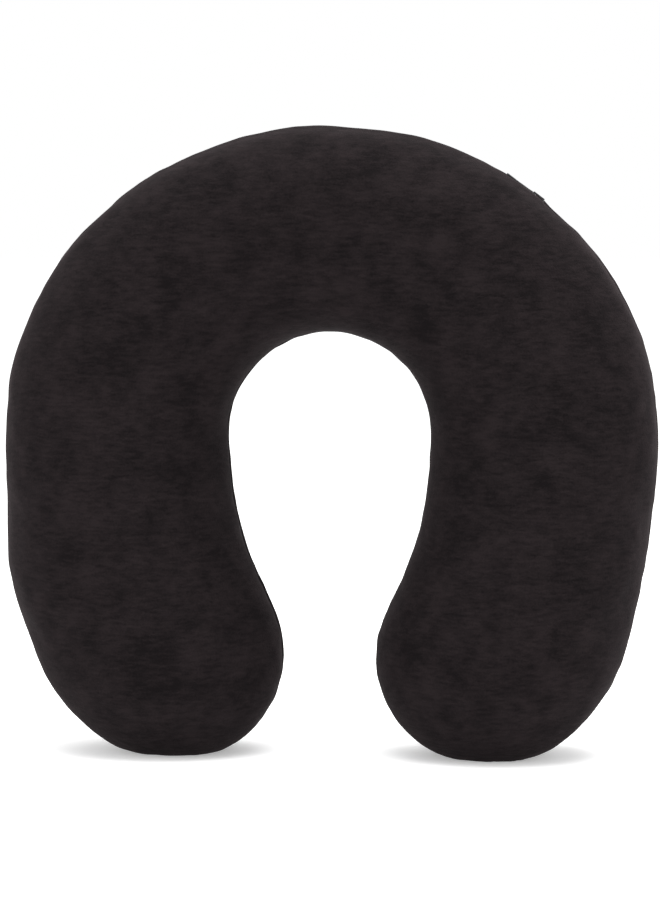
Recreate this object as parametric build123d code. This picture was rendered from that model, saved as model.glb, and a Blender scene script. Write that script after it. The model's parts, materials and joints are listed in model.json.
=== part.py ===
from build123d import *
import os
from math import asin, atan2, cos, degrees, radians, sin, sqrt

# U-shaped memory-foam neck pillow in a removable zipped cover, standing on its two rounded ends.
# Frame: millimetres. +Z runs up the pillow, X across the U, Y through its thickness with the face
# towards -Y. The origin is on the floor, under the middle of the pillow's box.

# Outer outline of the U, right half: crown arc, shoulder arc, flank arc and foot arc, all tangent.
# The crown arc's radius is a little more than half the width, and the foot arc's centre lies
# a set distance in from the widest point.
overall_width = 320.0
overall_height = 307.0
crown_radius_excess = 7.0
crown_half_angle = 42.0
foot_outer_radius = 80.0
foot_outer_setback = 92.0
foot_outer_z = 73.4

# Inner outline, right half: neck arc, throat arc and foot arc, all tangent
crown_width = 100.5
neck_radius = 49.5
foot_inner_radius = 52.0
foot_inner_x = 74.3
foot_inner_z = 48.1

# Thickness through Y, and the height at which each leg starts to close into its foot
crown_thickness = 94.0
side_thickness = 100.0
foot_thickness = 104.0
foot_swell_z = 60.0
foot_dome_height = 66.0

# Layers, counted inwards from the outside of the cover
cover_thickness = 2.0
cover_to_liner_gap = 0.4
liner_thickness = 0.6
liner_to_foam_gap = 0.2

# Zipper in the outer rim of the crown, between the folded edges of the two cover panels
slot_half_width = 4.4
slot_half_angle = 43.0
tape_half_width = 12.0
tape_half_angle = 42.0
tape_thickness = 0.5
tape_split = 0.55
chain_half_angle = 39.0
coil_inner_y = 0.45
coil_outer_y = 2.4
coil_height = 1.6
stop_gap_angle = 0.15
stop_angle = 0.9
topstitch_offset = 2.0
topstitch_radius = 0.25
tape_clearance = 0.3
liner_side_clearance = 0.6

# Slider, with its wedge post running between the two coils, and its pull tab
slider_length = 9.0
slider_width = 7.0
slider_plate = 0.9
slider_flange = 0.7
slider_clearance = 0.2
slider_floor_clearance = 0.3
post_width = 0.5
post_length = 2.4
bridge_length = 6.4
bridge_width = 1.5
bridge_wall = 0.6
bridge_window = 1.5
tab_length = 17.0
tab_width = 5.2
tab_thickness = 1.0
tab_rim = 1.1
eye_length = 4.2
eye_clearance = 0.35
groove_side_clearance = 0.5

# Care label sewn into the outer seam of the left flank, and the seam's thread
label_height = 25.0
label_length = 40.0
label_thickness = 0.2
label_gap = 0.1
label_z = 150.0
seam_depth = 0.3
seam_thread_size = 0.6

# Section spacing of the lofted body
fan_spans = 10
leg_spans = 4
foot_spans = 6

crown_radius = overall_width / 2 + crown_radius_excess
foot_outer_x = overall_width / 2 - foot_outer_setback
liner_depth = cover_thickness + cover_to_liner_gap
foam_depth = liner_depth + liner_thickness + liner_to_foam_gap
hem_depth = 2 * cover_thickness
tape_bottom = hem_depth + tape_thickness
coil_top = hem_depth - coil_height
plate_top = coil_top - slider_clearance - slider_plate
lower_plate_top = tape_bottom + slider_floor_clearance
lower_plate_bottom = lower_plate_top + slider_plate
beyond = 10.0


def step(start, distance, heading):
    """Point reached from start (x, z), where heading is degrees clockwise from straight up."""
    return start[0] + distance * sin(radians(heading)), start[1] + distance * cos(radians(heading))


# Outer arcs. The shoulder arc ends at the widest point, and the flank arc joins it to the foot arc.
sine = sin(radians(crown_half_angle))
shoulder_radius = (overall_width / 2 - crown_radius * sine) / (1 - sine)
crown_centre = (0.0, overall_height - crown_radius)
shoulder_centre = step(crown_centre, crown_radius - shoulder_radius, crown_half_angle)
flank_run = overall_width / 2 - foot_outer_x
flank_rise = shoulder_centre[1] - foot_outer_z
flank_radius = flank_run**2 + flank_rise**2 - foot_outer_radius**2
flank_radius = flank_radius / (2 * (flank_run - foot_outer_radius))
flank_centre = (overall_width / 2 - flank_radius, shoulder_centre[1])
foot_outer_centre = (foot_outer_x, foot_outer_z)
flank_end = degrees(atan2(foot_outer_x - flank_centre[0], foot_outer_z - flank_centre[1]))

# Inner arcs. The throat arc joins the level point of the neck arc to the foot arc, which it meets
# from outside.
neck_centre = (0.0, overall_height - crown_width - neck_radius)
throat_run = foot_inner_x - neck_radius
throat_rise = neck_centre[1] - foot_inner_z
throat_radius = throat_run**2 + throat_rise**2 - foot_inner_radius**2
throat_radius = throat_radius / (2 * (foot_inner_radius - throat_run))
throat_centre = (neck_radius - throat_radius, neck_centre[1])
foot_inner_centre = (foot_inner_x, foot_inner_z)
throat_end = degrees(atan2(foot_inner_x - throat_centre[0], foot_inner_z - throat_centre[1]))

# Radius of the body's rounded rim across the zipper, at the crown
rim_radius = (crown_thickness / 2) ** 2 / (crown_width / 2)


def crossing(start, heading, centre, radius):
    """Where a line from start leaves a circle, or None if it misses the circle."""
    ahead = step((0.0, 0.0), 1.0, heading)
    offset = (start[0] - centre[0], start[1] - centre[1])
    along = offset[0] * ahead[0] + offset[1] * ahead[1]
    square = along**2 - offset[0] ** 2 - offset[1] ** 2 + radius**2
    if square < 0:
        return None
    return step(start, sqrt(square) - along, heading)


def outer_point(start, heading, inset):
    """Where a rib from start meets the outer outline, moved inwards by inset."""
    arcs = (
        (crown_centre, crown_radius, crown_half_angle),
        (shoulder_centre, shoulder_radius, 90.0),
        (flank_centre, flank_radius, flank_end),
        (foot_outer_centre, foot_outer_radius, 180.0),
    )
    for centre, radius, end in arcs:
        point = crossing(start, heading, centre, radius - inset)
        if point and degrees(atan2(point[0] - centre[0], point[1] - centre[1])) <= end:
            return point


def inner_level_point(z, inset):
    """Point of the inner outline at a height below the neck arc, moved into the body by inset."""
    point = crossing((0.0, z), 90.0, throat_centre, throat_radius + inset)
    if point and degrees(atan2(point[0] - throat_centre[0], z - throat_centre[1])) <= throat_end:
        return point
    drop = z - foot_inner_centre[1]
    return foot_inner_centre[0] - sqrt((foot_inner_radius - inset) ** 2 - drop**2), z


def ease(share):
    """Smooth step from 0 to 1."""
    return share * share * (3 - 2 * share)


def ribs(inset):
    """Ribs of the right half, from the crown to the sole: inner end, outer end, half thickness
    and the direction in which the body runs on."""
    found = []
    for k in range(fan_spans + 1):
        angle = 90.0 * k / fan_spans
        thickness = crown_thickness + (side_thickness - crown_thickness) * ease(k / fan_spans)
        inner = step(neck_centre, neck_radius + inset, angle)
        outer = outer_point(neck_centre, angle, inset)
        found.append((inner, outer, thickness / 2 - inset, angle + 90.0))
    for k in range(1, leg_spans + 1):
        z = neck_centre[1] + (foot_swell_z - neck_centre[1]) * k / leg_spans
        thickness = side_thickness + (foot_thickness - side_thickness) * ease(k / leg_spans)
        found.append((inner_level_point(z, inset), outer_point((0.0, z), 90.0, inset),
                      thickness / 2 - inset, 180.0))
    dome = foot_dome_height - inset
    sole_turn = asin((foot_swell_z - inset) / dome)
    for k in range(1, foot_spans + 1):
        turn = sole_turn * k / foot_spans
        z = foot_swell_z - dome * sin(turn)
        found.append((inner_level_point(z, inset), outer_point((0.0, z), 90.0, inset),
                      (foot_thickness / 2 - inset) * cos(turn), 180.0))
    return found


def section(inner, outer, half_thickness, heading, side):
    """Elliptical section across the body at one rib, on the right (side 1) or left (side -1)."""
    middle = (side * (inner[0] + outer[0]) / 2, 0, (inner[1] + outer[1]) / 2)
    half_width = sqrt((outer[0] - inner[0]) ** 2 + (outer[1] - inner[1]) ** 2) / 2
    ahead = step((0.0, 0.0), 1.0, heading)
    plane = Plane(origin=middle, x_dir=(0, 1, 0), z_dir=(ahead[0], 0, side * ahead[1]))
    return plane * Ellipse(half_thickness, half_width)


def body(inset):
    """The pillow's closed form, moved inwards by inset, from the left sole to the right one."""
    right = ribs(inset)
    sections = [section(*rib, -1) for rib in reversed(right)]
    sections += [section(*rib, 1) for rib in right[1:]]
    return loft(sections)


def rim_band(depth_from, depth_to, y_from, y_to, angle_from, angle_to):
    """Band that follows the crown's rounded rim, between two depths below the cover's surface."""
    start = step((0.0, 0.0), 1.0, angle_from)
    plane = Plane(origin=(0, 0, crown_centre[1]), x_dir=(start[0], 0, start[1]),
                  z_dir=(-start[1], 0, start[0]))
    ring = Circle(rim_radius - depth_from) - Circle(rim_radius - depth_to)
    strip = Pos(rim_radius / 2 + beyond, (y_from + y_to) / 2) * Rectangle(rim_radius, y_to - y_from)
    face = plane * (Pos(crown_radius - rim_radius, 0) * (ring & strip))
    axis = Axis((0, 0, crown_centre[1]), (0, 1, 0))
    return revolve(face, axis, angle_to - angle_from)


def half_space(front):
    """Block that holds everything in front of, or behind, the mid-plane."""
    reach = 2 * (overall_width + overall_height)
    side = -1 if front else 1
    return Pos(0, side * reach / 2, 0) * Box(reach, reach, reach)


def crown_box(x_from, x_to, y_from, y_to, depth_from, depth_to):
    """Box at the top of the crown, between two depths below the cover's surface."""
    size = (x_to - x_from, y_to - y_from, depth_to - depth_from)
    centre = ((x_from + x_to) / 2, (y_from + y_to) / 2, overall_height - (depth_from + depth_to) / 2)
    return Pos(*centre) * Box(*size)


def turned(piece, angle):
    """Piece carried along the crown arc, clockwise from the top."""
    return piece.rotate(Axis((0, 0, crown_centre[1]), (0, 1, 0)), angle)


def mirrored(piece):
    """The same piece on the other side of the mid-plane."""
    return mirror(piece, about=Plane.XZ)


def dipped(depth, extra):
    """Body at a depth, pressed in below the zipper tape and, deeper, below the slider."""
    wide = tape_half_width + liner_side_clearance + extra
    narrow = slider_width / 2 + groove_side_clearance + extra
    end = tape_half_angle + 2 * degrees(atan2(liner_side_clearance + extra, crown_radius))
    tape_dip = rim_band(-beyond, tape_bottom + tape_clearance + extra, -wide, wide, -end, end)
    slider_dip = rim_band(-beyond, lower_plate_bottom + slider_floor_clearance + extra,
                          -narrow, narrow, -end, end)
    return body(depth) - tape_dip - slider_dip


# Foam core and the thin knitted liner round it, pressed in under the zipper
foam_core = dipped(foam_depth, liner_thickness + liner_to_foam_gap)
liner = dipped(liner_depth, 0.0) - dipped(liner_depth + liner_thickness, liner_thickness)
liner_front_panel = liner & half_space(True)
liner_back_panel = liner & half_space(False)

# Cover: two panels that meet in the mid-plane, with doubled hems beside the zipper
cover_shell = body(0.0) - body(cover_thickness)
slot = rim_band(-beyond, hem_depth + beyond / 2, -slot_half_width, slot_half_width,
                -slot_half_angle, slot_half_angle)
seam_slab = Box(2 * overall_width, seam_thread_size, 2 * overall_height + 2 * beyond)
seam_ring = (body(seam_depth) - body(seam_depth + seam_thread_size)) & seam_slab
cover_seam_thread = seam_ring - slot
stitch_y = slot_half_width + topstitch_offset
stitch_drop = rim_radius - sqrt(rim_radius**2 - stitch_y**2)
stitch_plane = Plane(origin=(0, 0, crown_centre[1]),
                     x_dir=(-sin(radians(slot_half_angle)), 0, cos(radians(slot_half_angle))),
                     z_dir=(-cos(radians(slot_half_angle)), 0, -sin(radians(slot_half_angle))))
stitch_spot = Pos(crown_radius - stitch_drop - topstitch_radius, stitch_y)
stitch_face = stitch_plane * (stitch_spot * Circle(topstitch_radius))
zipper_topstitch_back = revolve(stitch_face, Axis((0, 0, crown_centre[1]), (0, 1, 0)),
                                2 * slot_half_angle)
zipper_topstitch_front = mirrored(zipper_topstitch_back)
hem_back = rim_band(cover_thickness / 2, hem_depth, slot_half_width, tape_half_width,
                    -tape_half_angle, tape_half_angle)
cover_back_panel = (cover_shell & half_space(False)) - slot + hem_back
cover_back_panel = cover_back_panel - zipper_topstitch_back - cover_seam_thread
cover_front_panel = (cover_shell & half_space(True)) - slot + mirrored(hem_back)
cover_front_panel = cover_front_panel - zipper_topstitch_front - cover_seam_thread

# Zipper: two tapes under the hems, each with its coil, and the stops at both ends
zipper_tape_back = rim_band(hem_depth, tape_bottom, tape_split, tape_half_width,
                            -tape_half_angle, tape_half_angle)
zipper_tape_front = mirrored(zipper_tape_back)
zipper_coil_back = rim_band(coil_top, hem_depth, coil_inner_y, coil_outer_y,
                            -chain_half_angle, chain_half_angle)
zipper_coil_back = zipper_coil_back - zipper_tape_back
zipper_coil_front = mirrored(zipper_coil_back)
stop_start = chain_half_angle + stop_gap_angle
zipper_top_stop_back = rim_band(coil_top, hem_depth, coil_inner_y, coil_outer_y,
                                stop_start, stop_start + stop_angle)
zipper_top_stop_front = mirrored(zipper_top_stop_back)
zipper_bottom_stop = rim_band(coil_top, hem_depth, -coil_outer_y, coil_outer_y,
                              -stop_start - stop_angle, -stop_start)

# Slider: two plates round the chain, a wedge post at the nose and a bridge for the pull tab
half_length = slider_length / 2
half_width = slider_width / 2


def rounded_plate(depth):
    """One of the slider's plates, with rounded corners in plan."""
    plate = crown_box(-half_length, half_length, -half_width, half_width, depth, depth + slider_plate)
    return fillet(plate.edges().filter_by(Axis.Z), slider_flange)


upper_plate = rounded_plate(plate_top)
lower_plate = rounded_plate(lower_plate_top)
flange = crown_box(slider_flange - half_length, half_length - slider_flange,
                   half_width - slider_flange, half_width,
                   plate_top + slider_plate, hem_depth - slider_floor_clearance)
post = crown_box(half_length - post_length, half_length, -post_width / 2, post_width / 2,
                 plate_top + slider_plate, lower_plate_top)
bridge_top = plate_top - bridge_window - bridge_wall
bridge = crown_box(-bridge_length / 2, bridge_length / 2, -bridge_width / 2, bridge_width / 2,
                   bridge_top, plate_top)
window = crown_box(-bridge_length / 2 + bridge_wall, bridge_length / 2 - bridge_wall,
                   -bridge_width, bridge_width, plate_top - bridge_window, plate_top)
slider = upper_plate + lower_plate + flange + mirrored(flange) + post + (bridge - window)
park_angle = chain_half_angle - degrees(half_length / crown_radius)
zipper_slider = turned(slider, park_angle)

# Pull tab: a flat plate with an eye whose cross bar turns under the bridge
bar_radius = tab_thickness / 2
bar_depth = plate_top - bridge_window / 2
bar_x = -bridge_length / 2 + bridge_wall + bar_radius + slider_clearance
tab_end = bar_x - tab_length
tab_top = bar_depth - bar_radius
tab_bottom = bar_depth + bar_radius
plate = crown_box(tab_end, bar_x, -tab_width / 2, tab_width / 2, tab_top, tab_bottom)
rounded = [edge for edge in plate.edges().filter_by(Axis.Z) if edge.center().X < bar_x - bar_radius]
plate = fillet(rounded, tab_width / 2 - tab_rim)
eye_half = max(tab_width / 2 - tab_rim, bridge_width / 2 + eye_clearance)
eye = crown_box(bar_x - eye_length, bar_x + beyond, -eye_half, eye_half, tab_top - beyond,
                tab_bottom + beyond)
bar_place = Location((bar_x, 0, overall_height - bar_depth), (90, 0, 0))
bar = bar_place * Cylinder(bar_radius, tab_width)
zipper_pull_tab = turned((plate - eye) + bar, park_angle)

# Care label between cover and liner, with one edge in the outer seam
label_outer = cover_thickness + label_gap
label_shell = body(label_outer) - body(label_outer + label_thickness)
label_reach = neck_radius + crown_width / 2
label_block = Box(overall_width, label_length, label_height, align=(Align.MAX, Align.MIN, Align.CENTER))
care_label = label_shell & (Pos(-label_reach, seam_thread_size, label_z) * label_block)

nodes = {
    "foam_core": foam_core,
    "liner_front_panel": liner_front_panel,
    "liner_back_panel": liner_back_panel,
    "cover_front_panel": cover_front_panel,
    "cover_back_panel": cover_back_panel,
    "cover_seam_thread": cover_seam_thread,
    "care_label": care_label,
    "zipper_tape_front": zipper_tape_front,
    "zipper_tape_back": zipper_tape_back,
    "zipper_coil_front": zipper_coil_front,
    "zipper_coil_back": zipper_coil_back,
    "zipper_topstitch_front": zipper_topstitch_front,
    "zipper_topstitch_back": zipper_topstitch_back,
    "zipper_top_stop_front": zipper_top_stop_front,
    "zipper_top_stop_back": zipper_top_stop_back,
    "zipper_bottom_stop": zipper_bottom_stop,
    "zipper_slider": zipper_slider,
    "zipper_pull_tab": zipper_pull_tab,
}

os.makedirs("parts", exist_ok=True)
for name, piece in nodes.items():
    export_step(piece, f"parts/{name}.step")
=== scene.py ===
import json
import math

import bmesh
import bpy
from mathutils import Matrix, Vector, noise
from mathutils.bvhtree import BVHTree


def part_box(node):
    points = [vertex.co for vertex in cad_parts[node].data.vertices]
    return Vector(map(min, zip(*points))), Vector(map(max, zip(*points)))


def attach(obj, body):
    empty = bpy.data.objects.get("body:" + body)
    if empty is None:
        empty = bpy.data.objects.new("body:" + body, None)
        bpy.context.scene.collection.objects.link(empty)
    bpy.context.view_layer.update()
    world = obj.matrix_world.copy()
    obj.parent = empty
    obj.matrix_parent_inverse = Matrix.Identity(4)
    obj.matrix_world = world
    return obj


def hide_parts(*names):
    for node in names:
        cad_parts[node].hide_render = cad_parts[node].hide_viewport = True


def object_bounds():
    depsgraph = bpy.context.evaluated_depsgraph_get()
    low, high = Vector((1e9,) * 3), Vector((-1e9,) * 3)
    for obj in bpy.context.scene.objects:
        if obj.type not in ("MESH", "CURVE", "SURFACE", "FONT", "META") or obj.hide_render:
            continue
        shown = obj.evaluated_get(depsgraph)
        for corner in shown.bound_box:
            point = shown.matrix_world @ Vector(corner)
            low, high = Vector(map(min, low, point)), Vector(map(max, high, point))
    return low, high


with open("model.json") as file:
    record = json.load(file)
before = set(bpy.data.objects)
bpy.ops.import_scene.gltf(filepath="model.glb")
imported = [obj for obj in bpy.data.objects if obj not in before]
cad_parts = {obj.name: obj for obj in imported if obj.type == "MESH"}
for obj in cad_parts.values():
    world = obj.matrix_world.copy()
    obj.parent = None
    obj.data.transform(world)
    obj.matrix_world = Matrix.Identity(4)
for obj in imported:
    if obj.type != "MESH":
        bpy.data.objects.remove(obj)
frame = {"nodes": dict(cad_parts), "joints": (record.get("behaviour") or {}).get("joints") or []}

cad_low, cad_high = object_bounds()

# ---------------------------------------------------------------------------------------------
# Foam core: one U of viscoelastic memory foam, poured in a closed mould. It is off-white, with a
# fine matt skin of open cells, and is pressed in along the crown where the zipper lies on it.
# ---------------------------------------------------------------------------------------------
foam_voxel = 0.004
foam_hex = "E9DFC6"
foam_shade_hex = "D8CBAB"
foam_cell = 0.0009
merge_distance = 0.00001


def copy_of(names, name):
    """A new object with the merged meshes of some CAD nodes."""
    bpy.ops.object.select_all(action="DESELECT")
    for node in names:
        frame["nodes"][node].hide_viewport = False
        frame["nodes"][node].select_set(True)
    bpy.context.view_layer.objects.active = frame["nodes"][names[0]]
    bpy.ops.object.duplicate()
    if len(names) > 1:
        bpy.ops.object.join()
    piece = bpy.context.active_object
    piece.parent = None
    piece.name = name
    for key in list(piece.keys()):
        if key.startswith("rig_"):
            del piece[key]
    piece.data.materials.clear()
    bpy.ops.object.mode_set(mode="EDIT")
    bpy.ops.mesh.select_all(action="SELECT")
    bpy.ops.mesh.remove_doubles(threshold=merge_distance)
    bpy.ops.object.mode_set(mode="OBJECT")
    return piece


def pick(piece):
    """Selects one object alone and makes it the active one."""
    bpy.ops.object.select_all(action="DESELECT")
    piece.select_set(True)
    bpy.context.view_layer.objects.active = piece


def finish_modifier(piece, kind, **settings):
    """Adds a modifier with its settings and applies it."""
    pick(piece)
    modifier = piece.modifiers.new(kind.lower(), kind)
    for key, value in settings.items():
        setattr(modifier, key, value)
    bpy.ops.object.modifier_apply(modifier=modifier.name)


def linear(hex_colour):
    """Linear RGBA of an sRGB hex colour."""
    channels = [int(hex_colour[i:i + 2], 16) / 255 for i in (0, 2, 4)]
    return [c / 12.92 if c <= 0.04045 else ((c + 0.055) / 1.055) ** 2.4 for c in channels] + [1.0]


def node(material, kind, settings=None, **inputs):
    """Adds a shader node. An input is a value, or a (node, output) pair to link from."""
    made = material.node_tree.nodes.new(kind)
    for key, value in (settings or {}).items():
        setattr(made, key, value)
    for key, value in inputs.items():
        socket = made.inputs[int(key[1:]) if key[1:].isdigit() else key.replace("_", " ")]
        if isinstance(value, tuple) and isinstance(value[0], bpy.types.Node):
            material.node_tree.links.new(value[0].outputs[value[1]], socket)
        else:
            socket.default_value = value
    return made


def new_material(name):
    """A material with an output, and nothing else, in its node tree."""
    material = bpy.data.materials.new(name)
    material.use_nodes = True
    material.node_tree.nodes.clear()
    return material, material.node_tree.nodes.new("ShaderNodeOutputMaterial")


def link_shader(material, output, shader):
    material.node_tree.links.new(shader.outputs[0], output.inputs["Surface"])


foam = copy_of(["foam_core"], "foam_core_block")
finish_modifier(foam, "REMESH", mode="VOXEL", voxel_size=foam_voxel, use_smooth_shade=True)
finish_modifier(foam, "SMOOTH", factor=0.5, iterations=4)

# Moulded memory foam looks soft and chalky, a little uneven in colour, and never shines.
foam_material, foam_output = new_material("viscoelastic_foam_moulded")
place = node(foam_material, "ShaderNodeTexCoord")
cells = node(foam_material, "ShaderNodeTexVoronoi", Vector=(place, "Object"), Scale=1 / foam_cell)
blotch = node(foam_material, "ShaderNodeTexNoise", Vector=(place, "Object"), Scale=40.0, Detail=3.0)
tint = node(foam_material, "ShaderNodeMix", {"data_type": "RGBA"}, Factor=(blotch, "Fac"))
tint.inputs[6].default_value = linear(foam_hex)
tint.inputs[7].default_value = linear(foam_shade_hex)
dents = node(foam_material, "ShaderNodeBump", Strength=0.35, Distance=0.0004, Height=(cells, "Distance"))
shade = node(foam_material, "ShaderNodeBsdfPrincipled", Roughness=0.95, Normal=(dents, "Normal"),
             Base_Color=(tint, 2))
shade.inputs["Subsurface Weight"].default_value = 0.15
shade.inputs["Subsurface Radius"].default_value = (0.004, 0.003, 0.002)
link_shader(foam_material, foam_output, shade)
foam.data.materials.append(foam_material)

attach(foam, "pillow")
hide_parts("foam_core")

# ---------------------------------------------------------------------------------------------
# Inner liner: a thin white knitted polyester sock in two panels, overlocked together round the
# foam in the mid-plane. It lies tight on the foam and lets the velour cover slide over it.
# ---------------------------------------------------------------------------------------------
liner_gap = 0.0002
liner_thickness = 0.0006
liner_hex = "DEDDD8"
liner_rib = 0.0016
# At scale 1 a wave texture repeats every 0.31 of a unit.
wave_length = 0.31

crown_centre = Vector(frame["joints"][0]["pos_m"])
crown_radius = cad_high.z - crown_centre.z


def half_of(piece, side, name):
    """A new object with the half of a piece that lies in front of (-1) or behind (1) the mid-plane."""
    half = piece.copy()
    half.data = piece.data.copy()
    half.name = name
    half.parent = None
    for key in list(half.keys()):
        if key.startswith("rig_"):
            del half[key]
    half.data.materials.clear()
    bpy.context.scene.collection.objects.link(half)
    half.hide_render = False
    pick(half)
    bpy.ops.object.mode_set(mode="EDIT")
    bpy.ops.mesh.select_all(action="SELECT")
    bpy.ops.mesh.bisect(plane_co=(0, 0, 0), plane_no=(0, -side, 0), clear_outer=True)
    bpy.ops.object.mode_set(mode="OBJECT")
    return half


# Knitted polyester looks matt and white, with fine level rows that are felt more than seen.
liner_material, liner_output = new_material("knitted_polyester_liner")
place = node(liner_material, "ShaderNodeTexCoord")
rows = node(liner_material, "ShaderNodeTexWave", {"bands_direction": "Z"}, Vector=(place, "Object"),
            Scale=wave_length / liner_rib, Distortion=0.6, Detail=1.0)
ribs = node(liner_material, "ShaderNodeBump", Strength=0.4, Distance=0.0002, Height=(rows, "Fac"))
shade = node(liner_material, "ShaderNodeBsdfPrincipled", Base_Color=linear(liner_hex), Roughness=0.85,
             Normal=(ribs, "Normal"))
link_shader(liner_material, liner_output, shade)

liners = {}
for side, name in ((-1, "front"), (1, "back")):
    liner = half_of(foam, side, f"liner_{name}")
    finish_modifier(liner, "DISPLACE", strength=liner_gap, mid_level=0.0)
    finish_modifier(liner, "SOLIDIFY", thickness=liner_thickness, offset=1.0)
    liner.data.materials.append(liner_material)
    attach(liner, "pillow")
    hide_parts(f"liner_{name}_panel")
    low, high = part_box(f"liner_{name}_panel")
    liners[name] = liner

# ---------------------------------------------------------------------------------------------
# Cover blank: the closed form that the two velour panels take when the foam stretches them. It is
# swelled from the foam by cloth simulation, held along the seam and along the sewn-in zipper.
# ---------------------------------------------------------------------------------------------
cover_voxel = 0.0045
cover_start_gap = 0.003
cover_growth = -0.02
swell_limit = 0.004
swell_frames = 20
held_seam_y = 0.003
held_zipper_y = 0.009
held_zipper_angle = math.radians(44)
rim_radius = 0.04396
rim_depth = 0.02
fill_inset = 0.0034
fill_half_angle = math.radians(46)
lump_height = 0.0008
lump_size = 0.034
dimple_height = 0.0003
dimple_size = 0.011
flank_fullness = 0.0048
flank_from = 0.09
flank_run = 0.06
flank_z = 0.085
flank_spread = 0.042


def crown_angle(point):
    """Angle of a point along the crown arc, clockwise from the top."""
    return math.atan2(point.x - crown_centre.x, point.z - crown_centre.z)


def crown_reach(point):
    """Distance of a point from the crown arc's axis."""
    return math.hypot(point.x - crown_centre.x, point.z - crown_centre.z)


def on_rim(point, half_angle, half_width):
    """Whether a point lies on the crown's outer rim, near the zipper."""
    return (crown_reach(point) > crown_radius - rim_depth and abs(crown_angle(point)) < half_angle
            and abs(point.y) < half_width)


cover = copy_of(["foam_core"], "cover_blank")
bpy.ops.object.select_all(action="DESELECT")
bpy.ops.mesh.primitive_torus_add(major_radius=crown_radius - rim_radius,
                                 minor_radius=rim_radius - fill_inset,
                                 major_segments=180, minor_segments=64,
                                 location=crown_centre, rotation=(math.pi / 2, 0, 0))
zipper_dip_fill = bpy.context.active_object
bpy.ops.object.transform_apply(location=True, rotation=True, scale=True)
bpy.ops.object.mode_set(mode="EDIT")
for side in (-1, 1):
    bpy.ops.mesh.select_all(action="SELECT")
    cut = Vector((side * math.cos(fill_half_angle), 0, -math.sin(fill_half_angle)))
    bpy.ops.mesh.bisect(plane_co=crown_centre, plane_no=cut, clear_outer=True, use_fill=True)
bpy.ops.object.mode_set(mode="OBJECT")
pick(cover)
zipper_dip_fill.select_set(True)
bpy.ops.object.join()
finish_modifier(cover, "REMESH", mode="VOXEL", voxel_size=cover_voxel, use_smooth_shade=True)
finish_modifier(cover, "SMOOTH", factor=0.5, iterations=3)
finish_modifier(cover, "DISPLACE", strength=cover_start_gap, mid_level=0.0)

floor_z = cad_low.z
start = [(v.co.copy(), v.normal.copy()) for v in cover.data.vertices]
pick(cover)
held = cover.vertex_groups.new(name="sewn")
sewn = [v.index for v in cover.data.vertices
        if abs(v.co.y) < held_seam_y or on_rim(v.co, held_zipper_angle, held_zipper_y)]
held.add(sewn, 1.0, "REPLACE")
swell = cover.modifiers.new("swell", "CLOTH")
swell.settings.vertex_group_mass = "sewn"
swell.settings.shrink_min = cover_growth
swell.settings.use_pressure = True
swell.settings.uniform_pressure_force = 15.0
swell.settings.effector_weights.gravity = 0.0
swell.settings.quality = 5
swell.settings.tension_stiffness = 3
swell.settings.compression_stiffness = 3
swell.settings.shear_stiffness = 1
swell.settings.bending_stiffness = 0.5
swell.point_cache.frame_start = 1
swell.point_cache.frame_end = swell_frames
for step in range(1, swell_frames + 1):
    bpy.context.scene.frame_set(step)
bpy.ops.object.modifier_apply(modifier=swell.name)
bpy.context.scene.frame_set(1)
for vertex, (place, outward) in zip(cover.data.vertices, start):
    rise = (vertex.co - place).dot(outward)
    vertex.co = place + outward * min(max(rise, 0.0), swell_limit)
cover.vertex_groups.clear()
finish_modifier(cover, "SMOOTH", factor=0.5, iterations=4)
finish_modifier(cover, "SUBSURF", levels=1, render_levels=1)
for vertex in cover.data.vertices:
    side_share = min(max((-vertex.co.x - flank_from) / flank_run, 0.0), 1.0)
    rise = math.exp(-((vertex.co.z - flank_z) / flank_spread) ** 2)
    vertex.co.x -= flank_fullness * side_share * rise
lumps = [v.normal * (lump_height * noise.noise(v.co / lump_size)
                     + dimple_height * noise.noise(v.co / dimple_size)) for v in cover.data.vertices]
for vertex, lump in zip(cover.data.vertices, lumps):
    vertex.co += lump
    vertex.co.z = max(vertex.co.z, floor_z)

# ---------------------------------------------------------------------------------------------
# Cover panels: short-pile black polyester velour, knitted and brushed, in a front and a back panel
# joined by a lockstitched seam in the mid-plane. It pulls in with small puckers at the seam, and
# along the zipper each edge is folded under as a rolled hem with a row of topstitching.
# ---------------------------------------------------------------------------------------------
velour_hex = "100D0E"
velour_streak_hex = "1F1A1B"
pile_fine = 0.0009
pile_streak = (0.0065, 0.0017)
pile_mottle = 0.015
pile_share = 0.5
mottle_share = 0.8
sheen_hex = "D6BFC4"
seam_lines = (0.0007, 0.0016, 0.003, 0.0048)
seam_depth = 0.001
seam_reach = 0.0017
pucker_depth = 0.00045
pucker_reach = 0.006
pucker_pitch = 0.0085
seam_pucker_density = math.sqrt(2)
hem_pucker_share = 0.6
hem_pucker_row = 3.0
cut_tolerance = 0.00002
hem_y = 0.0054
hem_y_tolerance = 0.0004
hem_width = 0.02
hem_cut_width = 0.012
hem_cut_margin = 0.08
stitch_y = 0.0064
stitch_valley = 0.0005
stitch_valley_reach = 0.0007
hem_lines = (hem_y, stitch_y, stitch_y + stitch_valley_reach, stitch_y + 2.5 * stitch_valley_reach)
slot_half_angle = math.radians(42.2)
end_margin = 0.004
puff_run_out = 0.085
hem_roll = ((0.0005, 0.05), (0.00085, 0.2), (0.001, 0.45), (0.0008, 0.7), (0.0003, 0.9), (-0.0008, 1.0))
hem_bottom = 0.0039
hem_puff = 0.0013
hem_puff_y = 0.009
hem_puff_reach = 0.0052
panel_thickness = 0.0018
seam_thickness_share = 0.55
hem_thickness_share = 0.3


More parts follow.
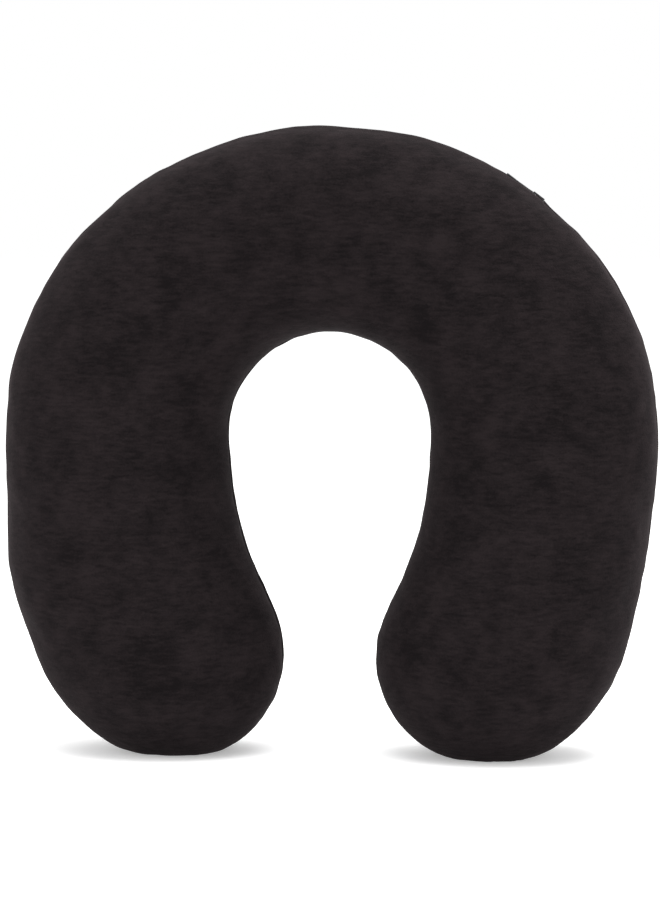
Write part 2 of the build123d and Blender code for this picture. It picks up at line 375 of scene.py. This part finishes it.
def bisect_faces(shape, faces, point, normal):
    """Cuts some faces of a bmesh along a plane, and keeps both sides."""
    edges = {edge for face in faces for edge in face.edges}
    verts = {vert for face in faces for vert in face.verts}
    bmesh.ops.bisect_plane(shape, geom=[*faces, *edges, *verts], plane_co=point, plane_no=normal,
                           dist=cut_tolerance)


def sewn_in(vert):
    """How far the sewing pulls a point of the cover in."""
    reach = abs(vert.co.y)
    if on_rim(vert.co, slot_half_angle, hem_width):
        along = crown_angle(vert.co) * crown_radius
        wave = noise.noise(Vector((along / pucker_pitch, hem_pucker_row, 0)))
        valley = stitch_valley * math.exp(-((reach - stitch_y) / stitch_valley_reach) ** 2)
        end_share = min((slot_half_angle - abs(crown_angle(vert.co))) / puff_run_out, 1.0)
        end_share = end_share * end_share * (3 - 2 * end_share)
        valley -= end_share * hem_puff * math.exp(-((reach - hem_puff_y) / hem_puff_reach) ** 2)
        pucker = math.exp(-((reach - stitch_y) / seam_reach) ** 2)
        return valley + hem_pucker_share * pucker_depth * wave * pucker
    wave = noise.noise(vert.co * seam_pucker_density / pucker_pitch)
    valley = seam_depth * math.exp(-(reach / seam_reach) ** 2)
    return valley + pucker_depth * wave * math.exp(-(reach / pucker_reach) ** 2)


def near_hems():
    """The faces beside the zipper, out to a little past both ends of its slot."""
    return [f for f in shape.faces
            if on_rim(f.calc_center_median(), slot_half_angle + hem_cut_margin, hem_cut_width)]


shape = bmesh.new()
shape.from_mesh(cover.data)
weight_layer = shape.verts.layers.float.new("thickness_share")
for y in sorted({0.0, *seam_lines, *(-y for y in seam_lines)}):
    near = [f for f in shape.faces if abs(f.calc_center_median().y - y) < cover_voxel]
    bisect_faces(shape, near, (0, y, 0), (0, 1, 0))
for side in (-1, 1):
    for y in hem_lines:
        bisect_faces(shape, near_hems(), (0, side * y, 0), (0, 1, 0))
    slot_end = (math.cos(slot_half_angle), 0, -side * math.sin(slot_half_angle))
    bisect_faces(shape, near_hems(), crown_centre, slot_end)
shape.normal_update()
slot_faces = [f for f in shape.faces if on_rim(f.calc_center_median(), slot_half_angle, hem_y)]
bmesh.ops.delete(shape, geom=slot_faces, context="FACES")
sewn_places = [(vert, vert.co - vert.normal * sewn_in(vert)) for vert in shape.verts]
for vert, place in sewn_places:
    vert.co = place
    vert.co.z = max(vert.co.z, floor_z)
cover_surface = BVHTree.FromBMesh(shape)

edges = [e for e in shape.edges if e.is_boundary]
roll_start = {v: v.co.copy() for e in edges for v in e.verts}
roll_source = {v: v for v in roll_start}
hem_verts = set(roll_start)
for inward, depth_share in hem_roll:
    before = {v for e in edges for v in e.verts}
    made = bmesh.ops.extrude_edge_only(shape, edges=edges)["geom"]
    new_verts = [g for g in made if isinstance(g, bmesh.types.BMVert)]
    for vert in new_verts:
        below = next(e.other_vert(vert) for e in vert.link_edges if e.other_vert(vert) in before)
        roll_source[vert] = roll_source[below]
        edge = roll_start[roll_source[vert]]
        y = edge.y
        angle = crown_angle(edge)
        if abs(y) > hem_y - hem_y_tolerance:
            y -= math.copysign(inward, y)
        if abs(angle) > slot_half_angle - end_margin:
            angle -= math.copysign(inward / crown_radius, angle)
        hem_floor = crown_radius - rim_radius + math.sqrt(rim_radius ** 2 - y ** 2) - hem_bottom
        radius = crown_reach(edge) + (hem_floor - crown_reach(edge)) * depth_share
        vert.co = crown_centre + Vector((radius * math.sin(angle), y, radius * math.cos(angle)))
    hem_verts.update(new_verts)
    edges = [g for g in made if isinstance(g, bmesh.types.BMEdge) and g.is_boundary]
for vert in shape.verts:
    near_seam = math.exp(-(abs(vert.co.y) / held_seam_y) ** 2)
    vert[weight_layer] = 1 - (1 - seam_thickness_share) * near_seam
for vert in hem_verts:
    vert[weight_layer] = hem_thickness_share
shape.to_mesh(cover.data)

# Brushed velour looks nearly black and quite matt, with faint lighter streaks where the pile lies
# over and a dim warm edge. The single fibres are too fine to show, so the pile is drawn coarser.
velour, velour_output = new_material("brushed_polyester_velour")
place = node(velour, "ShaderNodeTexCoord")
streak_scale = (1 / pile_streak[0], 1 / pile_streak[0], 1 / pile_streak[1])
laid = node(velour, "ShaderNodeMapping", Vector=(place, "Object"), Scale=streak_scale)
streaks = node(velour, "ShaderNodeTexNoise", Vector=(laid, "Vector"), Scale=1.0, Detail=3.0,
               Roughness=0.6)
pile = node(velour, "ShaderNodeTexNoise", Vector=(place, "Object"), Scale=1 / pile_fine, Detail=1.0)
mottle = node(velour, "ShaderNodeTexNoise", Vector=(place, "Object"), Scale=1 / pile_mottle, Detail=2.0)
streaks_and_pile = node(velour, "ShaderNodeMath", {"operation": "MULTIPLY_ADD"}, _0=(pile, "Fac"),
                        _1=pile_share, _2=(streaks, "Fac"))
all_three = node(velour, "ShaderNodeMath", {"operation": "MULTIPLY_ADD"}, _0=(mottle, "Fac"),
                 _1=mottle_share, _2=(streaks_and_pile, 0))
tone = node(velour, "ShaderNodeMapRange", Value=(all_three, 0), From_Min=0.9, From_Max=1.42)
tint = node(velour, "ShaderNodeMix", {"data_type": "RGBA"}, Factor=(tone, 0), _6=linear(velour_hex),
            _7=linear(velour_streak_hex))
nap = node(velour, "ShaderNodeBump", Strength=0.5, Distance=0.0005, Height=(streaks_and_pile, 0))
velour_shade = node(velour, "ShaderNodeBsdfPrincipled", Base_Color=(tint, 2), Roughness=0.95,
                    Specular_IOR_Level=0.06, Sheen_Weight=0.045, Sheen_Roughness=0.4,
                    Sheen_Tint=linear(sheen_hex), Normal=(nap, "Normal"))
link_shader(velour, velour_output, velour_shade)

for side, name in ((-1, "front"), (1, "back")):
    panel_shape = shape.copy()
    beyond = [f for f in panel_shape.faces if f.calc_center_median().y * side < 0]
    bmesh.ops.delete(panel_shape, geom=beyond, context="FACES")
    bmesh.ops.recalc_face_normals(panel_shape, faces=panel_shape.faces)
    mesh = bpy.data.meshes.new(f"cover_{name}")
    panel_shape.to_mesh(mesh)
    layer = panel_shape.verts.layers.float["thickness_share"]
    shares = [vert[layer] for vert in panel_shape.verts]
    panel_shape.free()
    panel = bpy.data.objects.new(f"cover_{name}", mesh)
    bpy.context.scene.collection.objects.link(panel)
    group = panel.vertex_groups.new(name="thickness")
    for index, share in enumerate(shares):
        group.add([index], share, "REPLACE")
    finish_modifier(panel, "SOLIDIFY", thickness=panel_thickness, offset=-1.0,
                    vertex_group="thickness")
    panel.vertex_groups.clear()
    pick(panel)
    bpy.ops.object.shade_smooth()
    panel.data.materials.append(velour)
    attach(panel, "pillow")
    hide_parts(f"cover_{name}_panel")
    low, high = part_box(f"cover_{name}_panel")

# ---------------------------------------------------------------------------------------------
# Seam thread: bonded black polyester thread, lockstitched where the two panels meet, from one end
# of the zipper round the flanks, the feet and the neck to the other end. It lies in the seam.
# ---------------------------------------------------------------------------------------------
thread_hex = "100F10"
seam_thread_radius = 0.0003
thread_twist = 0.0011
seam_end_angle = 0.001

# Bonded thread is black with a slight gloss, which shows as short bright dashes on each stitch.
thread_material, thread_output = new_material("bonded_polyester_thread")
place = node(thread_material, "ShaderNodeTexCoord")
plies = node(thread_material, "ShaderNodeTexWave", {"bands_direction": "DIAGONAL"},
             Vector=(place, "Object"), Scale=wave_length / thread_twist)
twist = node(thread_material, "ShaderNodeBump", Strength=0.6, Distance=0.0001, Height=(plies, "Fac"))
shade = node(thread_material, "ShaderNodeBsdfPrincipled", Base_Color=linear(thread_hex), Roughness=0.5,
             Normal=(twist, "Normal"))
link_shader(thread_material, thread_output, shade)

seam_shape = shape.copy()
off_seam = [v for v in seam_shape.verts if abs(v.co.y) > merge_distance
            or on_rim(v.co, slot_half_angle - seam_end_angle, hem_y)]
bmesh.ops.delete(seam_shape, geom=off_seam, context="VERTS")
seam_mesh = bpy.data.meshes.new("seam_thread")
seam_shape.to_mesh(seam_mesh)
seam_shape.free()
seam_thread = bpy.data.objects.new("seam_thread", seam_mesh)
bpy.context.scene.collection.objects.link(seam_thread)
pick(seam_thread)
bpy.ops.object.convert(target="CURVE")
seam_thread = bpy.context.active_object
seam_thread.data.bevel_depth = seam_thread_radius
seam_thread.data.bevel_resolution = 1
seam_thread.data.use_fill_caps = True
bpy.ops.object.convert(target="MESH")
seam_thread = bpy.context.active_object
seam_thread.data.materials.append(thread_material)
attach(seam_thread, "pillow")
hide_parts("cover_seam_thread")

# ---------------------------------------------------------------------------------------------
# Care label: a blank white satin-woven nylon tab, sewn by one edge into the outer seam of the left
# flank and lying flat between the cover and the liner.
# ---------------------------------------------------------------------------------------------
label_hex = "E4E3DF"
label_gap = 0.00015
label_thickness = 0.0002
label_weave = 0.0006
label_length = 0.040
label_low, label_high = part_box("care_label")
label_flat = (label_length, label_high.z - label_low.z)

bpy.ops.object.select_all(action="DESELECT")
bpy.ops.mesh.primitive_grid_add(x_subdivisions=20, y_subdivisions=12, size=1.0)
care_label = bpy.context.active_object
care_label.name = "care_label_sheet"
care_label.scale = (label_flat[0], label_flat[1], 1.0)
bpy.ops.object.transform_apply(location=True, rotation=True, scale=True)
label_middle = (label_low.x, label_low.y + label_flat[0] / 2, (label_low.z + label_high.z) / 2)
care_label.data.transform(Matrix.Translation(label_middle) @ Matrix(((0, 0, -1, 0), (-1, 0, 0, 0),
                                                                     (0, 1, 0, 0), (0, 0, 0, 1))))
finish_modifier(care_label, "SHRINKWRAP", target=foam, wrap_method="NEAREST_SURFACEPOINT",
                wrap_mode="OUTSIDE_SURFACE", offset=liner_gap + liner_thickness + label_gap)
finish_modifier(care_label, "SOLIDIFY", thickness=label_thickness, offset=1.0)

# Satin-woven nylon is white and smooth, with a soft gloss.
label_material, label_output = new_material("woven_nylon_label")
place = node(label_material, "ShaderNodeTexCoord")
satin = node(label_material, "ShaderNodeTexWave", {"bands_direction": "Z"}, Vector=(place, "Object"),
             Scale=wave_length / label_weave)
weave = node(label_material, "ShaderNodeBump", Strength=0.2, Distance=0.0001, Height=(satin, "Fac"))
shade = node(label_material, "ShaderNodeBsdfPrincipled", Base_Color=linear(label_hex), Roughness=0.45,
             Normal=(weave, "Normal"))
link_shader(label_material, label_output, shade)
care_label.data.materials.append(label_material)
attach(care_label, "pillow")
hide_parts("care_label")

# ---------------------------------------------------------------------------------------------
# Zipper tapes: two black polyester tapes, woven in fine lengthwise twill, sewn flat under the
# hems along the top of the crown. Only the strip beside the coil shows.
# ---------------------------------------------------------------------------------------------
tape_hex = "141315"
tape_depth = 0.004
tape_thickness = 0.0005
tape_inner_y = 0.0003
tape_outer_y = 0.012
tape_half_angle = math.radians(42)
tape_steps = 84
tape_twill = 0.0009


def along_crown(piece):
    """Gives a piece a UV map in metres: along the crown arc and across it."""
    layer = piece.data.uv_layers.new(name="along_crown")
    for loop in piece.data.loops:
        point = piece.data.vertices[loop.vertex_index].co
        layer.data[loop.index].uv = (crown_angle(point) * crown_radius, point.y)


def crown_place(angle, y, depth):
    """Where a piece sits on the rim: its X runs along the zipper and its Z points outwards."""
    drop = rim_radius - math.sqrt(rim_radius ** 2 - y ** 2)
    return (Matrix.Translation(crown_centre) @ Matrix.Rotation(angle, 4, "Y")
            @ Matrix.Translation((0, y, crown_radius - drop - depth)))


# Twill-woven polyester looks flat and dark, with fine ribs along it and almost no shine.
tape_material, tape_output = new_material("woven_polyester_tape")
place = node(tape_material, "ShaderNodeTexCoord")
twill = node(tape_material, "ShaderNodeTexWave", {"bands_direction": "DIAGONAL"}, Vector=(place, "UV"),
             Scale=wave_length / tape_twill, Distortion=0.3)
cords = node(tape_material, "ShaderNodeTexWave", {"bands_direction": "Y"}, Vector=(place, "UV"),
             Scale=wave_length / tape_twill)
both = node(tape_material, "ShaderNodeMath", {"operation": "ADD"}, _0=(twill, "Fac"), _1=(cords, "Fac"))
weave = node(tape_material, "ShaderNodeBump", Strength=0.5, Distance=0.0002, Height=(both, 0))
shade = node(tape_material, "ShaderNodeBsdfPrincipled", Base_Color=linear(tape_hex), Roughness=0.8,
             Sheen_Weight=0.1, Normal=(weave, "Normal"))
link_shader(tape_material, tape_output, shade)

for side, name in ((-1, "front"), (1, "back")):
    bpy.ops.object.select_all(action="DESELECT")
    rim_middle = crown_centre + Vector((0, 0, crown_radius - rim_radius))
    bpy.ops.mesh.primitive_circle_add(vertices=320, radius=rim_radius - tape_depth - tape_thickness,
                                      location=rim_middle, rotation=(0, math.pi / 2, 0))
    tape = bpy.context.active_object
    tape.name = f"tape_{name}"
    bpy.ops.object.transform_apply(location=True, rotation=True, scale=True)
    bpy.ops.object.mode_set(mode="EDIT")
    bpy.ops.mesh.select_all(action="DESELECT")
    bpy.ops.object.mode_set(mode="OBJECT")
    for vertex in tape.data.vertices:
        inside = tape_inner_y < side * vertex.co.y < tape_outer_y
        vertex.select = not (inside and vertex.co.z > rim_middle.z)
    bpy.ops.object.mode_set(mode="EDIT")
    bpy.ops.mesh.select_mode(type="VERT")
    bpy.ops.mesh.delete(type="VERT")
    bpy.ops.mesh.select_all(action="SELECT")
    bpy.ops.transform.rotate(value=tape_half_angle, orient_axis="Y", orient_type="GLOBAL",
                             center_override=crown_centre)
    bpy.ops.object.mode_set(mode="OBJECT")
    turned_to = math.copysign(1, tape.data.vertices[0].co.x)
    innermost = min(tape.data.vertices, key=lambda vertex: abs(vertex.co.y))
    innermost.co.y = side * tape_inner_y
    bpy.ops.object.mode_set(mode="EDIT")
    bpy.ops.mesh.spin(steps=tape_steps, angle=2 * tape_half_angle * turned_to, center=crown_centre,
                      axis=(0, 1, 0))
    bpy.ops.mesh.select_all(action="SELECT")
    bpy.ops.mesh.normals_make_consistent(inside=False)
    bpy.ops.object.mode_set(mode="OBJECT")
    if sum(face.normal.z for face in tape.data.polygons) < 0:
        tape.data.flip_normals()
    finish_modifier(tape, "SOLIDIFY", thickness=tape_thickness, offset=1.0)
    bpy.ops.object.shade_smooth_by_angle(angle=math.radians(40))
    along_crown(tape)
    tape.data.materials.append(tape_material)
    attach(tape, "pillow")
    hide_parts(f"zipper_tape_{name}")

# ---------------------------------------------------------------------------------------------
# Zipper coils: two rows of black polyester monofilament, wound in a flat spiral and stitched to
# the tapes' edges. Each turn shows as a rounded bar with a head towards the middle.
# ---------------------------------------------------------------------------------------------
coil_hex = "0F0E10"
coil_pitch = 0.0015
coil_wire = 0.00033
coil_overlap = 0.0002
coil_outer_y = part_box("zipper_coil_back")[1].y
coil_half_angle = math.radians(39)
coil_width = coil_outer_y + coil_overlap
coil_height = 0.0016
coil_middle_depth = tape_depth - coil_height / 2
coil_slant = math.radians(14)
coil_stagger = 0.25


def copies(seed, places, name):
    """One mesh with a copy of a small seed piece at each place; the seed is used up."""
    joined = bmesh.new()
    for place in places:
        mesh = seed.data.copy()
        mesh.transform(place)
        joined.from_mesh(mesh)
        bpy.data.meshes.remove(mesh)
    mesh = bpy.data.meshes.new(name)
    joined.to_mesh(mesh)
    joined.free()
    bpy.data.objects.remove(seed)
    piece = bpy.data.objects.new(name, mesh)
    bpy.context.scene.collection.objects.link(piece)
    pick(piece)
    bpy.ops.object.shade_smooth_by_angle(angle=math.radians(50))
    return piece


# Drawn monofilament is smooth and glossy, so each black turn carries a small bright line.
coil_material, coil_output = new_material("polyester_monofilament")
place = node(coil_material, "ShaderNodeTexCoord")
draw_lines = node(coil_material, "ShaderNodeTexNoise", Vector=(place, "Object"), Scale=900.0, Detail=1.0)
gloss = node(coil_material, "ShaderNodeMapRange", Value=(draw_lines, "Fac"), To_Min=0.28, To_Max=0.42)
shade = node(coil_material, "ShaderNodeBsdfPrincipled", Base_Color=linear(coil_hex),
             Roughness=(gloss, 0), IOR=1.57)
link_shader(coil_material, coil_output, shade)

coil_turns = int(2 * coil_half_angle * crown_radius / coil_pitch)
for side, name in ((-1, "front"), (1, "back")):
    bpy.ops.object.select_all(action="DESELECT")
    bpy.ops.mesh.primitive_torus_add(major_radius=coil_width / 2 - coil_wire, minor_radius=coil_wire,
                                     major_segments=12, minor_segments=5,
                                     rotation=(0, math.pi / 2, 0))
    turn = bpy.context.active_object
    turn.scale = (coil_height / coil_width, 1.0, 1.0)
    bpy.ops.object.transform_apply(location=True, rotation=True, scale=True)
    shift = coil_stagger * side * coil_pitch / crown_radius
    middle_y = side * (coil_outer_y - coil_overlap) / 2
    slant = Matrix.Rotation(side * coil_slant, 4, "Z")
    angles = [(k + 0.5 - coil_turns / 2) * coil_pitch / crown_radius + shift for k in range(coil_turns)]
    coil = copies(turn, [crown_place(angle, middle_y, coil_middle_depth) @ slant for angle in angles],
                  f"coil_{name}")
    coil.data.materials.append(coil_material)
    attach(coil, "pillow")
    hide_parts(f"zipper_coil_{name}")

# ---------------------------------------------------------------------------------------------
# Topstitching: a row of black lockstitches along each hem, through the doubled velour and the
# tape. Each stitch sinks into the pile at both ends.
# ---------------------------------------------------------------------------------------------
stitch_length = 0.0026
stitch_pitch = 0.0032
stitch_radius = 0.00026
stitch_rise = 0.00002
stitch_probe_height = 0.01

stitch_count = int(2 * slot_half_angle * crown_radius / stitch_pitch)
for side, name in ((-1, "front"), (1, "back")):
    places = []
    for k in range(stitch_count):
        angle = (k + 0.5 - stitch_count / 2) * stitch_pitch / crown_radius
        above = crown_place(angle, side * stitch_y, -stitch_probe_height)
        inwards = -(above.to_3x3() @ Vector((0, 0, 1)))
        distance = cover_surface.ray_cast(above.translation, inwards)[3]
        places.append(above @ Matrix.Translation((0, 0, stitch_rise - distance)))
    bpy.ops.object.select_all(action="DESELECT")
    bpy.ops.mesh.primitive_uv_sphere_add(segments=8, ring_count=6, radius=1.0,
                                         rotation=(0, math.pi / 2, 0))
    stitch = bpy.context.active_object
    bpy.ops.object.transform_apply(location=True, rotation=True, scale=True)
    stitch.scale = (stitch_length / 2, stitch_radius, stitch_radius)
    bpy.ops.object.transform_apply(location=True, rotation=True, scale=True)
    topstitch = copies(stitch, places, f"topstitch_{name}")
    topstitch.data.materials.append(thread_material)
    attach(topstitch, "pillow")
    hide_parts(f"zipper_topstitch_{name}")

# ---------------------------------------------------------------------------------------------
# Zipper stops: small staples of blackened aluminium, crimped over the coils. A top stop on each
# row ends the closed zipper at the right shoulder, and one bottom stop holds both rows at the left.
# ---------------------------------------------------------------------------------------------
stop_hex = "252527"
stop_bevel = 0.00035
stop_angle = math.radians(39.6)
stop_length = 0.0026
stop_groove = 0.0002

# Crimped aluminium is dark grey metal, dulled in patches by fine scuffs.
stop_material, stop_output = new_material("crimped_aluminium")
place = node(stop_material, "ShaderNodeTexCoord")
scuffs = node(stop_material, "ShaderNodeTexNoise", Vector=(place, "Object"), Scale=1500.0, Detail=2.0)
gloss = node(stop_material, "ShaderNodeMapRange", Value=(scuffs, "Fac"), To_Min=0.3, To_Max=0.55)
shade = node(stop_material, "ShaderNodeBsdfPrincipled", Base_Color=linear(stop_hex), Metallic=1.0,
             Roughness=(gloss, 0))
link_shader(stop_material, stop_output, shade)

stops = (("top_stop_front", "zipper_top_stop_front", stop_angle),
         ("top_stop_back", "zipper_top_stop_back", stop_angle),
         ("bottom_stop", "zipper_bottom_stop", -stop_angle))
for name, replaced, angle in stops:
    low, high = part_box(replaced)
    bpy.ops.object.select_all(action="DESELECT")
    bpy.ops.mesh.primitive_cube_add(size=1.0)
    stop = bpy.context.active_object
    stop.name = name
    stop.scale = (stop_length, high.y - low.y, coil_height)
    bpy.ops.object.transform_apply(location=True, rotation=True, scale=True)
    bpy.ops.object.mode_set(mode="EDIT")
    bpy.ops.mesh.select_all(action="SELECT")
    bpy.ops.mesh.bevel(offset=stop_bevel, segments=3, affect="EDGES")
    bpy.ops.mesh.select_all(action="DESELECT")
    bpy.ops.object.mode_set(mode="OBJECT")
    top_face = max(stop.data.polygons, key=lambda face: (round(face.normal.z, 3), face.area))
    top_face.select = True
    bpy.ops.object.mode_set(mode="EDIT")
    bpy.ops.mesh.select_mode(type="FACE")
    bpy.ops.mesh.inset(thickness=stop_groove, depth=-stop_groove)
    bpy.ops.object.mode_set(mode="OBJECT")
    stop.data.transform(crown_place(angle, (low.y + high.y) / 2, coil_middle_depth))
    bpy.ops.object.shade_smooth_by_angle(angle=math.radians(35))
    stop.data.materials.append(stop_material)
    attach(stop, "pillow")
    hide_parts(replaced)

# ---------------------------------------------------------------------------------------------
# Slider and pull tab: die-cast zinc, tumbled so that every edge is round and then painted satin
# black. The tab's bar turns in the slider's bridge, and its face has a shallow sunk panel.
# ---------------------------------------------------------------------------------------------
paint_hex = "161517"
cast_bevel = 0.00013
panel_margin = 0.0007
panel_sink = 0.00015
facing_limit = 0.99
parked_angle = crown_angle(Vector(frame["joints"][1]["pos_m"]))

# Paint on a tumbled casting is satin black, with an orange-peel skin that softens its lights.
paint, paint_output = new_material("painted_die_cast_zinc")
place = node(paint, "ShaderNodeTexCoord")
orange_peel = node(paint, "ShaderNodeTexNoise", Vector=(place, "Object"), Scale=1800.0, Detail=2.0)
peel = node(paint, "ShaderNodeBump", Strength=0.15, Distance=0.0001, Height=(orange_peel, "Fac"))
gloss = node(paint, "ShaderNodeMapRange", Value=(orange_peel, "Fac"), To_Min=0.3, To_Max=0.45)
shade = node(paint, "ShaderNodeBsdfPrincipled", Base_Color=linear(paint_hex), Roughness=(gloss, 0),
             Coat_Weight=0.2, Normal=(peel, "Normal"))
link_shader(paint, paint_output, shade)

castings = (("slider_body", "zipper_slider", "slider"),
            ("pull_tab_plate", "zipper_pull_tab", "pull_tab"))
for name, replaced, body in castings:
    casting = copy_of([replaced], name)
    bpy.ops.object.mode_set(mode="EDIT")
    bpy.ops.mesh.select_all(action="SELECT")
    bpy.ops.mesh.dissolve_limited(angle_limit=math.radians(1))
    bpy.ops.mesh.select_all(action="DESELECT")
    bpy.ops.object.mode_set(mode="OBJECT")
    if body == "pull_tab":
        outward = Vector((math.sin(parked_angle), 0, math.cos(parked_angle)))
        facing = [face for face in casting.data.polygons if face.normal.dot(outward) > facing_limit]
        max(facing, key=lambda face: face.area).select = True
        bpy.ops.object.mode_set(mode="EDIT")
        bpy.ops.mesh.select_mode(type="FACE")
        bpy.ops.mesh.inset(thickness=panel_margin, depth=-panel_sink)
        bpy.ops.object.mode_set(mode="OBJECT")
    finish_modifier(casting, "BEVEL", width=cast_bevel, segments=2, limit_method="ANGLE",
                    angle_limit=math.radians(35))
    bpy.ops.object.shade_smooth_by_angle(angle=math.radians(35))
    casting.data.materials.append(paint)
    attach(casting, body)
    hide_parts(replaced)
bpy.data.objects.remove(cover)
shape.free()

# ---------------------------------------------------------------------------------------------
# Studio: a seamless white floor under an even white surround, with one soft box above and a little
# in front, and a wide wash over the floor. The camera is slightly to the right and slightly above.
# ---------------------------------------------------------------------------------------------
floor_hex = "F4F4F4"
floor_size = 60.0
floor_drop = 0.0002
floor_glow = 0.35
surround_strength = 1.0
camera_azimuth = math.radians(6.5)
camera_elevation = math.radians(3.7)
camera_distance = 1.65
camera_height = 0.149
view_height = 0.4405
sensor = 36.0

bpy.ops.object.select_all(action="DESELECT")
bpy.ops.mesh.primitive_grid_add(x_subdivisions=12, y_subdivisions=12, size=floor_size,
                                location=(0, 0, floor_z - floor_drop))
studio_floor = bpy.context.active_object
studio_floor.name = "studio_floor"
bpy.ops.object.transform_apply(location=True, rotation=True, scale=True)
# Matt paper is an even white with no shine. Its own faint glow keeps it as light as the surround.
floor_material, floor_output = new_material("matt_white_paper")
place = node(floor_material, "ShaderNodeTexCoord")
fibres = node(floor_material, "ShaderNodeTexNoise", Vector=(place, "Object"), Scale=400.0, Detail=2.0)
tooth = node(floor_material, "ShaderNodeBump", Strength=0.05, Distance=0.0002, Height=(fibres, "Fac"))
shade = node(floor_material, "ShaderNodeBsdfPrincipled", Base_Color=linear(floor_hex), Roughness=1.0,
             Specular_IOR_Level=0.0, Emission_Color=linear("FFFFFF"), Emission_Strength=floor_glow,
             Normal=(tooth, "Normal"))
link_shader(floor_material, floor_output, shade)
studio_floor.data.materials.append(floor_material)

surround = bpy.data.worlds.new("white_surround")
bpy.context.scene.world = surround
surround.use_nodes = True
surround.node_tree.nodes["Background"].inputs["Color"].default_value = linear("FFFFFF")
surround.node_tree.nodes["Background"].inputs["Strength"].default_value = surround_strength
bpy.context.scene.view_settings.view_transform = "Standard"


def soft_box(name, place, aim, size, power):
    """A square area light that faces a point."""
    light = bpy.data.lights.new(name, "AREA")
    light.size = size
    light.energy = power
    lamp = bpy.data.objects.new(name, light)
    lamp.location = place
    lamp.rotation_euler = (Vector(aim) - Vector(place)).to_track_quat("-Z", "Y").to_euler()
    bpy.context.scene.collection.objects.link(lamp)


middle = (0, 0, camera_height)
soft_box("top_box", (0.15, -0.2, 1.5), middle, 1.2, 17.0)
soft_box("floor_wash", (0, 0, 3.0), (0, 0, 0), 3.0, 60.0)

camera_data = bpy.data.cameras.new("camera")
camera_data.sensor_width = sensor
camera_data.lens = sensor * camera_distance / view_height
camera = bpy.data.objects.new("camera", camera_data)
away = Vector((math.sin(camera_azimuth) * math.cos(camera_elevation),
               -math.cos(camera_azimuth) * math.cos(camera_elevation), math.sin(camera_elevation)))
camera.location = Vector(middle) + away * camera_distance
camera.rotation_euler = (-away).to_track_quat("-Z", "Y").to_euler()
bpy.context.scene.collection.objects.link(camera)
bpy.context.scene.camera = camera
